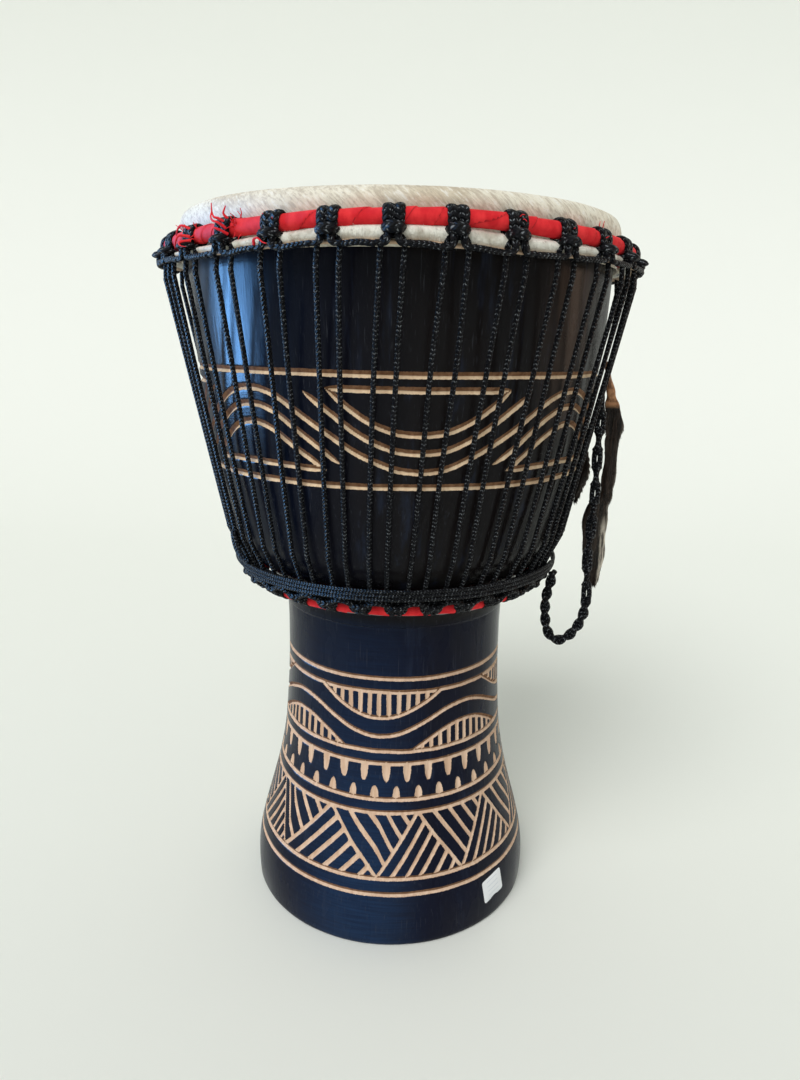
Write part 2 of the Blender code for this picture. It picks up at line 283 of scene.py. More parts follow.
class Ropes:
    """Lengths of rope gathered into one mesh. Its UV map runs round the rope, and along it in
    circumferences, so that one braid pattern fits every rope."""

    def __init__(self):
        self.vertices = []
        self.faces = []
        self.corners = []
        self.count = 0

    def add(self, line, radius, sides=ROPE_SIDES, braid=BRAID):
        """One length along points in metres, with a radius in millimetres, or one for each point."""
        tangents = unit(np.gradient(line, axis=0))
        normals = np.empty_like(tangents)
        normal = np.cross(tangents[0], (0.31, 0.2, 0.93))
        for index, tangent in enumerate(tangents):
            normal = normal - tangent * (normal @ tangent)
            normal /= max(np.linalg.norm(normal), 1e-9)
            normals[index] = normal
        binormals = np.cross(tangents, normals)
        radii = np.broadcast_to(np.asarray(radius, float), (len(line),)) * MM
        along = lengths_along(line) / (2 * math.pi * radii.mean())
        turns = np.arange(sides) / sides
        angles = 2 * math.pi * turns
        lumps = 1 + braid * np.cos(4 * angles)[None, :] * np.cos(7 * math.pi * along)[:, None]
        reach = (radii[:, None] * lumps)[..., None]
        cosine, sine = np.cos(angles)[None, :, None], np.sin(angles)[None, :, None]
        ring = normals[:, None] * cosine + binormals[:, None] * sine
        self.vertices.append((line[:, None] + ring * reach).reshape(-1, 3))
        quads = grid_faces(len(line), sides)[:, ::-1]
        step, side = np.divmod(np.arange(len(quads)), sides)
        low, high = along[step], along[step + 1]
        left, right = side / sides, (side + 1) / sides
        corners = ((left, high), (right, high), (right, low), (left, low))
        uv = np.stack([np.stack(corner, axis=-1) for corner in corners], axis=1)
        self.faces.extend((quads + self.count).tolist())
        self.corners.append(uv.reshape(-1, 2))
        last = self.count + (len(line) - 1) * sides
        self.faces.append(list(range(self.count, self.count + sides)))
        self.faces.append(list(range(last, last + sides))[::-1])
        self.corners.append(np.zeros((2 * sides, 2)))
        self.count += len(line) * sides

    def through(self, points, radius, sides=ROPE_SIDES, braid=BRAID):
        """One length on a smooth curve through a few points."""
        self.add(even(spline(points, 8), ROPE_STEP), radius, sides, braid)

    def make(self, name, material, pressed=None, **placing):
        """Makes the mesh. pressed says what hug() does to it."""
        vertices = np.vstack(self.vertices)
        if pressed:
            vertices = hug(vertices, *pressed)
        piece = add_piece(name, vertices, self.faces, material, **placing)
        layer = piece.data.uv_layers.new(name="along")
        layer.data.foreach_set("uv", np.vstack(self.corners).astype(np.float32).ravel())
        return piece


# ---- material helpers


class Shade:
    """A material built from nodes, one short line for each."""

    def __init__(self, name, roughness, **settings):
        self.material = bpy.data.materials.new(name)
        self.material.use_nodes = True
        self.tree = self.material.node_tree
        self.shader = self.tree.nodes["Principled BSDF"]
        self.use("Roughness", roughness)
        for key, value in settings.items():
            self.use(key.replace("_", " "), value)

    def fill(self, socket, value):
        """Links a socket to a node's output, or sets it to a plain value."""
        if isinstance(value, bpy.types.NodeSocket):
            self.tree.links.new(value, socket)
        elif socket.type == "RGBA":
            socket.default_value = (*value, 1)
        else:
            socket.default_value = value

    def use(self, key, value):
        self.fill(self.shader.inputs[key], value)

    def finish(self, colour, normal):
        self.use("Base Color", colour)
        self.use("Normal", normal)
        return self.material

    def node(self, kind, inputs, output=0, **settings):
        item = self.tree.nodes.new("ShaderNode" + kind)
        for key, value in settings.items():
            setattr(item, key, value)
        for key, value in inputs.items():
            self.fill(item.inputs[key], value)
        return item.outputs[output]

    def math(self, operation, first, second=0):
        return self.node("Math", {0: first, 1: second}, operation=operation)

    def times(self, first, second):
        return self.math("MULTIPLY", first, second)

    def attribute(self, name):
        return self.node("Attribute", {}, "Fac", attribute_name=name)

    def place(self, stretch=(1, 1, 1), turn=None):
        """The object's own coordinates, turned, and then stretched along each axis."""
        vector = self.node("TexCoord", {}, "Object")
        if turn:
            vector = self.node("Mapping", {"Vector": vector, "Rotation": turn})
        return self.node("Mapping", {"Vector": vector, "Scale": stretch})

    def part(self, vector, axis):
        return self.node("SeparateXYZ", {"Vector": vector}, axis)

    def noise(self, scale, detail, roughness, stretch=(1, 1, 1), turn=None):
        place = self.place(stretch, turn)
        inputs = {"Vector": place, "Scale": scale, "Detail": detail, "Roughness": roughness}
        return self.node("TexNoise", inputs)

    def between(self, value, low, high, to_low=0, to_high=1):
        inputs = {"Value": value, "From Min": low, "From Max": high, "To Min": to_low, "To Max": to_high}
        return self.node("MapRange", inputs, interpolation_type="SMOOTHSTEP")

    def mix(self, factor, first, second):
        return self.node("Mix", {0: factor, 6: first, 7: second}, 2, data_type="RGBA")

    def blend(self, value, low, high, first, second):
        """One colour at a low value, another at a high one, and a smooth change between them."""
        return self.mix(self.between(value, low, high), first, second)

    def over(self, base, value, low, high, strength, colour):
        """A base with a colour over it that comes in from a low value to a high one, up to a strength."""
        return self.mix(self.times(self.between(value, low, high), strength), base, colour)

    def bump(self, height, strength, distance, under=None):
        inputs = {"Height": height, "Strength": strength, "Distance": distance}
        if under is not None:
            inputs["Normal"] = under
        return self.node("Bump", inputs)


def painted_wood():
    """Black satin paint over wood. Where the surface is carved the wood is bare."""
    shade = Shade("black_wood", 0.3, Specular_IOR_Level=0.09, Specular_Tint=(0.8, 0.88, 1))
    grain = shade.noise(1, 4, 0.6, (260, 260, 16))
    fine = shade.noise(900, 2, 0.6)
    patches = shade.noise(26, 3, 0.6, (1, 1, 0.35))
    brush = shade.noise(1, 2, 0.6, (24, 24, 620))
    chips = shade.between(shade.noise(520, 3, 0.6), 0.3, 0.8, -0.07, 0.1)
    cut = shade.between(shade.math("ADD", shade.attribute("bare"), chips), -0.02, 0.06)
    shade.use("Base Color", shade.mix(cut, paint_colour(shade, patches, brush), wood_colour(shade, grain)))
    polish = shade.between(patches, 0.3, 0.7, 0.19, 0.32)
    shade.use("Roughness", shade.math("MAXIMUM", polish, shade.times(cut, 0.75)))
    rough = shade.bump(grain, 0.25, 0.0006)
    shade.use("Normal", shade.bump(brush, 0.15, 0.0004, shade.bump(fine, 0.1, 0.0003, rough)))
    return shade.material


def paint_colour(shade, patches, brush):
    """Black, with painted reflections that make it bluer on the foot and at the left and browner at the
    right. Over it are brown patches, streaks and scratches, and a band down the front of the foot that
    is a painted blue sheen, broken by the brush grain."""
    place = shade.place()
    aside, height = shade.part(place, 0), shade.part(place, 2)
    # Painted reflection: bluer at the left and browner at the right
    black = shade.blend(aside, -0.09, 0.03, (0.003, 0.0045, 0.012), (0.0075, 0.006, 0.006))
    # Painted reflection: the foot below the bowl is bluer
    black = shade.blend(height, 0.287, 0.276, black, (0.0045, 0.0055, 0.016))
    black = shade.over(black, patches, 0.45, 0.7, 0.3, (0.012, 0.010, 0.010))
    # A painted sheen: a soft blue band down the front of the foot, broken by the brush grain
    painted_sheen = shade.between(brush, 0.2, 0.75, 0.4, 1)
    for value, *limits in (
        (aside, -0.105, -0.035), (aside, 0.04, -0.015), (height, 0.30, 0.02, 0.25, 0.9), (height, 0.29, 0.28),
    ):
        painted_sheen = shade.times(painted_sheen, shade.between(value, *limits))
    black = shade.mix(painted_sheen, black, (0.012, 0.033, 0.085))
    streaks = shade.noise(1, 4, 0.65, (75, 75, 9))
    black = shade.over(black, streaks, 0.55, 0.72, 0.4, (0.022, 0.032, 0.062))
    scratches = shade.noise(1, 2, 0.5, (900, 900, 30))
    return shade.over(black, scratches, 0.62, 0.74, 0.3, (0.06, 0.065, 0.08))


def wood_colour(shade, grain):
    """Pale on the walls of a cut that face up, cream on the bowl and tan on the foot, and brown on the
    walls that face down, as painted shade."""
    cream = shade.blend(grain, 0.35, 0.65, (0.70, 0.50, 0.32), (0.82, 0.64, 0.44))
    tan = shade.blend(grain, 0.35, 0.65, (0.62, 0.42, 0.29), (0.74, 0.55, 0.41))
    # Painted shade: the walls of a cut that face down are brown
    brown = shade.blend(grain, 0.3, 0.7, (0.13, 0.062, 0.03), (0.25, 0.135, 0.075))
    pale = shade.blend(shade.part(shade.place(), 2), 0.27, 0.25, cream, tan)
    return shade.blend(shade.attribute("upper"), 0.25, 0.75, pale, brown)


def raw_wood():
    """The shell's inside: rough carved wood, left bare."""
    shade = Shade("raw_wood", 0.85)
    grain = shade.noise(1, 4, 0.6, (150, 150, 14))
    gouges = shade.noise(60, 2, 0.5, (1, 1, 0.5))
    colour = shade.blend(grain, 0.3, 0.7, (0.30, 0.17, 0.09), (0.48, 0.31, 0.18))
    return shade.finish(colour, shade.bump(gouges, 0.6, 0.004, shade.bump(grain, 0.3, 0.001)))


def goat_skin():
    """Dried goat skin: cream with darker blotches and slanting strokes of shaved hair, and brown along
    its lower edge."""
    shade = Shade("goat_skin", 0.72)
    slant = (0, -0.75, 0)
    blotches = shade.noise(16, 4, 0.6)
    strokes = shade.noise(1, 4, 0.6, (95, 300, 560), slant)
    wide = shade.noise(1, 3, 0.6, (30, 120, 160), slant)
    stubble = shade.noise(800, 2, 0.7)
    base = shade.blend(blotches, 0.40, 0.66, (0.86, 0.82, 0.69), (0.66, 0.58, 0.44))
    base = shade.over(base, wide, 0.48, 0.66, 0.45, (0.52, 0.45, 0.34))
    base = shade.over(base, strokes, 0.48, 0.62, 0.55, (0.45, 0.38, 0.29))
    base = shade.over(base, strokes, 0.46, 0.34, 0.6, (0.93, 0.92, 0.86))
    base = shade.over(base, stubble, 0.58, 0.72, 0.4, (0.36, 0.30, 0.24))
    height = shade.part(shade.place(), 2)
    colour = shade.blend(height, 0.5635, 0.5605, base, (0.20, 0.11, 0.06))
    return shade.finish(colour, shade.bump(stubble, 0.35, 0.0006, shade.bump(strokes, 0.4, 0.0008)))


def white_fur():
    """The hair left on the skin where it is folded round the flesh ring."""
    shade = Shade("white_fur", 0.75, Sheen_Weight=0.2)
    tufts = shade.noise(330, 4, 0.7, (1, 1, 0.5))
    soiled = shade.noise(60, 3, 0.6)
    base = shade.blend(soiled, 0.46, 0.66, (0.86, 0.85, 0.76), (0.56, 0.52, 0.43))
    colour = shade.over(base, tufts, 0.5, 0.66, 0.6, (0.44, 0.41, 0.35))
    return shade.finish(colour, shade.bump(tufts, 0.8, 0.0016))


def red_cotton():
    """Woven cotton strip, wound tight: creased along the winding, darker in its folds as painted shade."""
    shade = Shade("red_cotton", 0.85, Specular_IOR_Level=0.25)
    creases = shade.noise(110, 3, 0.6, (1, 1, 0.6))
    weave = shade.noise(1500, 1, 0.5)
    base = shade.blend(creases, 0.35, 0.7, (0.66, 0.014, 0.022), (0.84, 0.036, 0.042))
    # Painted shade in the folds between the wraps
    colour = shade.blend(shade.attribute("fold"), 0.35, 1, base, (0.30, 0.006, 0.012))
    return shade.finish(colour, shade.bump(weave, 0.2, 0.0003, shade.bump(creases, 0.5, 0.0018)))


def braided_rope():
    """Black braided rope. The braid's chevrons follow the rope's UV map, and grey flecks on some of their
    tops are partly dirty wear and partly painted highlights.
    """
    shade = Shade("black_rope", 0.5, Specular_IOR_Level=0.12)
    uv = shade.node("UVMap", {}, uv_map="along")
    across, along = shade.part(uv, 0), shade.part(uv, 1)
    zigzag = shade.math("PINGPONG", shade.times(across, 4), 0.5)
    chevrons = shade.math("ADD", shade.times(along, 4), zigzag)
    braid = shade.math("COSINE", shade.times(chevrons, 2 * math.pi))
    legs = shade.math("PINGPONG", shade.times(across, 8), 0.5)
    fleck_noise = shade.noise(600, 2, 0.6)
    # Grey flecks on the braid's tops: partly dirty wear, partly painted highlights
    wear_and_glint = shade.times(shade.between(braid, 0.4, 1), shade.between(fleck_noise, 0.42, 0.64))
    wear_and_glint = shade.times(wear_and_glint, shade.between(legs, 0.08, 0.3))
    colour = shade.mix(wear_and_glint, (0.0035, 0.004, 0.006), (0.21, 0.23, 0.25))
    return shade.finish(colour, shade.bump(braid, 0.9, 0.0007))


def goat_hide():
    """Tanned hide in one part and dark glossy hair in the other, pale at its tips, with a painted sheen
    along one edge.
    """
    shade = Shade("goat_hide", 0.35, Specular_IOR_Level=0.25)
    hair = shade.noise(1, 3, 0.6, (700, 700, 45))
    mottled = shade.noise(140, 3, 0.6)
    dark = shade.blend(hair, 0.35, 0.7, (0.007, 0.005, 0.004), (0.040, 0.026, 0.019))
    leather = shade.blend(mottled, 0.42, 0.62, (0.50, 0.25, 0.12), (0.16, 0.07, 0.035))
    base = shade.mix(shade.attribute("tan"), dark, leather)
    # The pale attribute holds the pale tips and also a painted sheen along one edge
    pale = shade.times(shade.attribute("pale"), shade.between(hair, 0.40, 0.60, 0.1, 1))
    return shade.finish(shade.mix(pale, base, (0.66, 0.60, 0.50)), shade.bump(hair, 0.6, 0.0008))


def cut_skin():
    """The trimmed inner side of the skin below the flesh ring."""
    shade = Shade("cut_skin", 0.7)
    mottle = shade.noise(120, 3, 0.6)
    colour = shade.blend(mottle, 0.3, 0.7, (0.50, 0.34, 0.22), (0.62, 0.46, 0.32))
    return shade.finish(colour, shade.bump(mottle, 0.4, 0.001))


def label_paper():
    """Blank white paper with faint grey bars in place of print."""
    shade = Shade("label_paper", 0.45)
    uv = shade.node("UVMap", {}, uv_map="sheet")
    bars = shade.math("SINE", shade.times(shade.part(uv, 1), 10 * math.pi))
    aside = shade.math("ABSOLUTE", shade.math("SUBTRACT", shade.part(uv, 0), 0.5))
    ink = shade.times(shade.between(bars, 0.75, 0.95), shade.between(aside, 0.26, 0.3, 1, 0))
    shade.use("Base Color", shade.mix(shade.times(ink, 0.4), (0.88, 0.90, 0.93), (0.45, 0.52, 0.62)))
    return shade.material


def ring_steel():
    shade = Shade("ring_steel", 0.4, Metallic=1)
    tint = shade.noise(40, 3, 0.6)
    shade.use("Base Color", shade.blend(tint, 0.3, 0.7, (0.33, 0.33, 0.34), (0.264, 0.264, 0.272)))
    return shade.material


# ---- the carved shell

# Carved lines are V grooves with their deepest line below their middle
BOWL_GROOVE = 2.5
FOOT_GROOVE = 2.15
GROOVE_DEPTH = 2
GROOVE_FLOOR = -0.15
NO_CUT = -1

# The bowl's carving repeats four times round, and each repeat is the same both ways from its middle
BOWL_MIDDLE = 5.7
REPEAT = 90
BOWL_RINGS = (484.3, 406.7)
BOWL_TOP_BAR = ((0, 474.3), (22.6, 474.3))
BOWL_LOW_BAR = ((24, 417.6), (34, 418.6), (45, 419.4))
BOWL_WAVES = (
    ((0, 443.8), (6, 445.5), (12, 452.4), (18, 463.4), (22.8, 474.6)),
    ((0, 431), (6, 432.8), (12, 439.8), (18, 449.8), (24, 462.6), (28.4, 471.8)),
    ((0, 417.3), (6, 419.5), (12, 426.2), (18, 435), (24, 445.6), (30, 457.4), (36, 467.2),
     (41, 471.8), (45, 472.8)),
    ((19.6, 422.4), (25, 432.9), (30, 444), (36, 454.6), (41, 460.2), (45, 461.4)),
    ((23.6, 417), (30, 429.6), (36, 440.8), (41, 446.9), (45, 448.8)),
)

# The foot's carving, from the top ring down
FOOT_MIDDLE = -6.3
FOOT_RINGS = (234.5, 222.8, 169.8, 158.7, 127.3, 116, 61.8, 48.7)
WAVE_MIDDLE = 195.2
WAVE_REACH = 12.2
UPPER_LENS = (31, 23.4)
LOWER_LENS = (28.5, 20.5)
LENS_BAR_STEP = REPEAT / 19
LENS_BAR = 1.9
TOOTH_COUNT = 35
FIRST_TOOTH = -2.4
TOOTH = 3.6
HANGING_TOOTH = 16.8
RISING_TOOTH = 11.6
TRIANGLE_COUNT = 10
FIRST_TRIANGLE = 12
TRIANGLE_PLACES = (-180, -80, -63, -50.5, -28, -5, 12.3, 31, 48, 66, 180)
TRIANGLE_EVEN = (-180, -78, -60, -42, -24, -6, 12, 30, 48, 66, 180)
RISING_HATCH = 6
FALLING_HATCH = 5
HATCH = 1.75
TRIANGLE_DEGREE = 2.1
TRIANGLE_MARGIN = 0.8


class Carving:
    """Where a surface is cut: bare is above 0 inside a cut and 1 along its middle, and side runs from
    -1 at the cut's lower edge to 1 at its upper edge."""

    def __init__(self, azimuth, height, radius):
        self.azimuth = azimuth + 0.25 * smooth_noise(1, azimuth, height)
        self.height = height + 0.22 * smooth_noise(2, azimuth, height)
        self.radius = radius
        self.bare = np.full(azimuth.shape, NO_CUT, float)
        self.side = np.zeros(azimuth.shape)
        self.flat = np.zeros(azimuth.shape, bool)

    def turn(self, middle, repeat):
        return (self.azimuth - middle + repeat / 2) % repeat - repeat / 2

    def cut(self, side, where, flat=False):
        bare = np.where(where, 1 - np.abs(side), NO_CUT)
        deeper = bare > self.bare
        self.bare[deeper] = bare[deeper]
        self.side[deeper] = side[deeper]
        self.flat[deeper] = flat

    def ring(self, level, half_width):
        self.cut((self.height - level) / half_width, np.abs(self.height - level) < 3 * half_width)

    def line(self, turn, level, half_width, where, taper=1, flat=False):
        """A line that is at a level for each turn. The level's slope thins its upright reach."""
        step = 0.05
        rise = (level(turn + step) - level(turn - step)) / (2 * step * self.radius * math.pi / 180)
        side = (self.height - level(turn)) / np.sqrt(1 + rise**2) / (half_width * np.maximum(taper, 0.05))
        self.cut(side, where, flat)

    def depth(self):
        upper = (1 - self.side) / (1 - GROOVE_FLOOR)
        lower = (1 + self.side) / (1 + GROOVE_FLOOR)
        groove = np.minimum(upper, lower)
        scoop = np.minimum(1, 1.6 * (1 - np.abs(self.side)))
        share = np.where(self.flat, 0.7 * scoop, groove)
        return GROOVE_DEPTH * np.where(self.bare > 0, np.clip(share, 0, 1), 0)

    # How far a point is on a cut's upper wall, which faces down; wood_colour gives that wall a painted shade
    def upper(self):
        return np.where(self.flat, 0, np.clip((self.side - GROOVE_FLOOR) / 0.25 + 0.5, 0, 1))


def carve_bowl(carving):
    for level in BOWL_RINGS:
        carving.ring(level, BOWL_GROOVE)
    turn = np.abs(carving.turn(BOWL_MIDDLE, REPEAT))
    for points in (BOWL_TOP_BAR, BOWL_LOW_BAR, *BOWL_WAVES):
        curve = spline(points)
        first, last = points[0][0], points[-1][0]

        def level(at, curve=curve):
            return np.interp(at, curve[:, 0], curve[:, 1])

        ends = np.full(turn.shape, 10)
        if first > 0:
            ends = np.minimum(ends, turn - first)
        if last < REPEAT / 2:
            ends = np.minimum(ends, last - turn)
        taper = np.sqrt(np.clip(ends / 3.2, 0, 1))
        carving.line(turn, level, BOWL_GROOVE, ends > 0, taper)


def carve_foot(carving):
    height = carving.height
    for level in FOOT_RINGS:
        carving.ring(level, FOOT_GROOVE)
    turn = carving.turn(FOOT_MIDDLE, REPEAT)

    def wave(at):
        return WAVE_MIDDLE - WAVE_REACH * np.cos(4 * np.radians(at))

    carving.line(turn, wave, FOOT_GROOVE, np.abs(height - WAVE_MIDDLE) < 20)
    opposite = carving.turn(FOOT_MIDDLE + REPEAT / 2, REPEAT)
    lenses = ((turn, UPPER_LENS, FOOT_RINGS[1], -1), (opposite, LOWER_LENS, FOOT_RINGS[2], 1))
    for at, (half, reach), base, sign in lenses:

        def rim(where, half=half, reach=reach, base=base, sign=sign):
            return base + sign * reach * np.cos(np.radians(np.clip(where, -half, half) * 90 / half))

        inside = np.abs(at) < half
        carving.line(at, rim, FOOT_GROOVE * 0.95, inside)
        between = inside & ((height - base) * sign > 0) & ((rim(at) - height) * sign > 0)
        bar = (at + LENS_BAR_STEP / 2) % LENS_BAR_STEP - LENS_BAR_STEP / 2
        carving.cut(np.radians(bar) * carving.radius / LENS_BAR, between, flat=True)
    carve_teeth(carving)
    carve_triangles(carving)


def carve_teeth(carving):
    step = 360 / TOOTH_COUNT
    teeth = (
        (FIRST_TOOTH, FOOT_RINGS[3] - carving.height, HANGING_TOOTH, TOOTH),
        (FIRST_TOOTH + step / 2, carving.height - FOOT_RINGS[4], RISING_TOOTH, TOOTH * 0.96),
    )
    for first, out, length, half_width in teeth:
        share = np.clip(out / length, 0, 1)
        width = half_width * np.sqrt(1 - share**2.4)
        across = np.radians(carving.turn(first, step)) * carving.radius
        inside = (out > -1) & (out < length)
        carving.cut(across / np.maximum(width, 0.05), inside, flat=True)


def carve_triangles(carving):
    """A zigzag between two rings. Triangles standing on the lower ring are hatched one way, and those
    hanging from the upper ring the other way."""
    top, bottom = FOOT_RINGS[5], FOOT_RINGS[6]
    half = 180 / TRIANGLE_COUNT
    even_azimuth = carving.azimuth
    signed = (even_azimuth + 180) % 360 - 180
    carving.azimuth = np.interp(signed, TRIANGLE_PLACES, TRIANGLE_EVEN)
    share = (carving.height - bottom) / (top - bottom)
    band = (share > 0) & (share < 1)
    slant = math.sin(math.atan2(top - bottom, half * TRIANGLE_DEGREE))
    millimetres = np.radians(1) * carving.radius * slant / HATCH
    for first, shift, reach, count in (
        (FIRST_TRIANGLE, half - share * half, half * (1 - share), RISING_HATCH),
        (FIRST_TRIANGLE + half, share * half, half * share, FALLING_HATCH),
    ):
        turn = carving.turn(first, 2 * half)
        step = 2 * half / count
        nearest = np.clip(np.round((turn + shift) / step), 0, count - 1) * step
        inside = band & (np.abs(turn) < reach + TRIANGLE_MARGIN)
        carving.cut((turn + shift - nearest) * millimetres, inside, flat=True)
    carving.azimuth = even_azimuth


def turned_surface(name, profile, columns, material, carve=None):
    """Turns a (radius, height) line about the drum's axis, and carves it."""
    rows = len(profile)
    azimuth = all_round(rows, columns)
    radius = np.broadcast_to(profile[:, :1], (rows, columns)).copy()
    height = np.broadcast_to(profile[:, 1:], (rows, columns)).copy()
    if carve:
        carving = Carving(azimuth, height, radius)
        carve(carving)
        radius = radius - carving.depth() + 0.12 * smooth_noise(3, azimuth, height)
    faces = grid_faces(rows, columns)
    piece = add_piece(name, around(azimuth, radius, height), faces, material, "shell")
    if carve:
        add_attribute(piece, "bare", carving.bare)
        add_attribute(piece, "upper", carving.upper())


def rows_of(curve, *bands):
    """Points of an outline at heights that each band gives as (from, to, step)."""
    heights = np.concatenate([np.arange(low, high, step) for low, high, step in bands] + [[bands[-1][1]]])
    return np.stack([np.interp(heights, curve[:, 1], curve[:, 0]), heights], axis=1)


# The outline under the foot's floor edge, and the last of it where the foot meets the bowl
FOOT_UNDERSIDE = ((111.5, 0), (120, 0), (128.6, 0), (129.8, 0.4))
FOOT_TOP = ((99.4, 279.6), (100.2, 280.5))


def build_shell():
    """The shell's outside in two pieces, fine where it is carved, and its inside."""
    paint = painted_wood()
    foot = rows_of(spline(STEM_PROFILE), (1.6, 44, 3), (44, 239, 0.95), (239, 279, 3))
    foot = np.vstack([FOOT_UNDERSIDE, foot, FOOT_TOP])
    turned_surface("shell_foot", foot, 860, paint, carve_foot)
    bowl = rows_of(spline(BOWL_PROFILE), (280.5, 400, 3), (400, 490, 0.9), (490, 592.5, 4))
    turned_surface("shell_bowl", bowl, 1080, paint, carve_bowl)
    angles = np.radians(np.linspace(0, 150, 10))
    rim = np.array(EDGE_CENTRE) + EDGE_ROUND * np.stack([np.cos(angles), np.sin(angles)], axis=1)
    inside = np.vstack([rim, even(spline(INNER_PROFILE), 6)])
    turned_surface("shell_inside", inside, 180, raw_wood())


# ---- the skin and the rings

SKIN_COLUMNS = 720
SKIN_BEND = (169.3, 590.8)
SKIN_BEND_ROUND = 9.2
SKIN_TOP = 600
SKIN_OUTSIDE = (
    (178.2, 588), (177.4, 584), (176.4, 580), (176, 574), (176.4, 568), (178, 563),
)
SKIN_INSIDE = (
    (177, 562.8), (175.2, 568), (174.9, 576), (176.8, 588), (174.8, 596), (168, 599), (120, 599), (1, 599),
)
SKIN_EDGE = (
    (184, 564.4), (187, 564), (191.6, 562.4), (192, 560.6), (191.4, 560.4), (187, 562.6),
)
SKIN_EDGE_LIFT = 2.2
HAIR_COUNT = 15000

# Where the cloth of the crown ring frays, as (azimuth, threads)
FRAYS = (
    (-33.5, 12), (-51, 10), (-46, 5), (-24.5, 5), (22.5, 6), (46.5, 5), (34, 2), (118, 6), (200, 8),
    (262, 6),
)
# Loose ends of that cloth at the left, as (across, radius, height) from an azimuth
RIBBONS = (
    (-26.4, ((-4.5, 196.5, 563), (-3, 198.6, 566.6), (0.5, 199.6, 567.4), (3.5, 198.8, 564.4),
             (6.5, 198.6, 563.2))),
    (-36.6, ((2.5, 191, 581), (-2, 194.6, 584.2), (-5, 195.6, 585.4), (-9, 193.6, 589),
             (-11.5, 191.8, 593))),
    (-36.6, ((4, 192, 577), (0.5, 196.6, 581), (-3.5, 198, 582.6), (-7, 196.4, 585.6),
             (-8, 194.6, 589.6))),
    (-36.6, ((5, 192.5, 574), (1, 197.6, 577), (-3, 198.6, 577.6), (-6.5, 197.6, 573))),
    (-36.6, ((3.5, 190, 583), (1, 192.6, 587), (2, 191.6, 591))),
    (-49, ((3.5, 192, 582), (-1.5, 196.4, 584.4), (-6.5, 197.4, 581), (-9.5, 196.4, 575.4))),
    (-49, ((4.5, 193, 577), (0, 199, 577.6), (-4, 200, 574), (-7, 199, 568))),
    (-49, ((5, 193, 574.6), (2, 199.8, 573), (5, 200.6, 569), (9.5, 199, 567.4))),
)


def build_skin():
    """The skin: flat across the head, bent over the bearing edge and down to the flesh ring."""
    bend = np.radians(np.linspace(90, 0, 10))
    edge = np.stack([SKIN_BEND[0] + SKIN_BEND_ROUND * np.cos(bend),
                     SKIN_BEND[1] + SKIN_BEND_ROUND * np.sin(bend)], axis=1)
    head = np.stack([np.linspace(1, 167, 40), np.full(40, SKIN_TOP)], axis=1)
    outer = np.vstack([head, edge, SKIN_OUTSIDE])
    profile = np.vstack([outer, SKIN_INSIDE])
    radius, level = profile[:, :1], profile[:, 1:]
    azimuth = all_round(len(profile), SKIN_COLUMNS)
    pull = np.clip((radius - 169) / 6, 0, 1) * (np.arange(len(profile)) < len(outer))[:, None]
    dip = 0.25 * np.clip(radius / 166, 0, 1) * smooth_noise(12, azimuth, 0.2 * radius)
    height = level - np.abs(dip) * (level > SKIN_TOP - 0.5)
    vertices = around(azimuth, radius + 0.35 * pull * smooth_noise(11, azimuth, 0.4 * level), height)
    faces = grid_faces(len(profile), SKIN_COLUMNS)[:, ::-1]
    add_piece("drumhead_skin", vertices, faces, goat_skin(), "drumhead_skin")


def build_skin_edge():
    """The trimmed edge of the skin, which shows below the flesh ring."""
    edge = np.array(SKIN_EDGE)
    azimuth = all_round(len(edge), 360)
    vertices = around(azimuth, edge[:, :1], edge[:, 1:] + SKIN_EDGE_LIFT + sag(azimuth))
    faces = grid_faces(len(edge), 360)[:, ::-1]
    add_piece("skin_edge", vertices, faces, cut_skin(), "drumhead_skin")


def torus(name, centre, columns, sides, swell, material, stands_for, sagging=False):
    """A ring of round section. swell is the section's radius, or gives it for each azimuth and turn."""
    azimuth = all_round(sides, columns)
    turn = np.broadcast_to(np.arange(sides)[:, None] * 360 / sides, (sides, columns))
    section = swell(azimuth, turn) if callable(swell) else swell
    radius = centre[0] + section * np.cos(np.radians(turn))
    height = centre[1] + section * np.sin(np.radians(turn))
    if sagging:
        height = height + sag(azimuth)
    faces = grid_faces(sides, columns)
    last = (sides - 1) * columns
    column = np.arange(columns)
    following = (column + 1) % columns
    seam = np.stack([last + column, last + following, following, column], axis=-1)
    vertices = around(azimuth, radius, height)
    piece = add_piece(name, vertices, np.vstack([faces, seam]), material, stands_for)
    return piece, azimuth, turn


def wrap_phase(seed, wraps, azimuth, turn):
    """How far a place on a wound ring is across the strip of cloth, from 0 to 1."""
    drift = 0.35 * smooth_noise(seed, azimuth)
    return (azimuth * wraps / 360 - turn / 360 + drift) % 1


def build_cloth():
    """The rings' cloth, a strip wound round and round: it swells towards each edge of the strip."""
    cotton = red_cotton()
    for name, centre, seed, wraps, columns in (
        ("crown_ring_cloth", CROWN, 21, 41, 1500),
        ("bottom_ring_cloth", BOTTOM_RAISED, 31, 27, 1100),
    ):

        def swell(azimuth, turn, seed=seed, wraps=wraps):
            phase = wrap_phase(seed, wraps, azimuth, turn)
            edge = 1 - np.clip(phase / 0.05, 0, 1)
            crease = smooth_noise(seed + 1, azimuth + 0.045 * turn)
            crease = crease * smooth_noise(seed + 2, azimuth, 0.3 * turn)
            return 5.1 + 0.75 * phase**1.5 + 0.55 * edge + 0.35 * crease

        piece, azimuth, turn = torus(name, centre, columns, 28, swell, cotton, name)
        # The fold attribute marks each wrap's edge, where red_cotton paints shade
        phase = wrap_phase(seed, wraps, azimuth, turn)
        add_attribute(piece, "fold", np.clip(1 - phase / 0.07, 0, 1))
    build_frays(cotton)


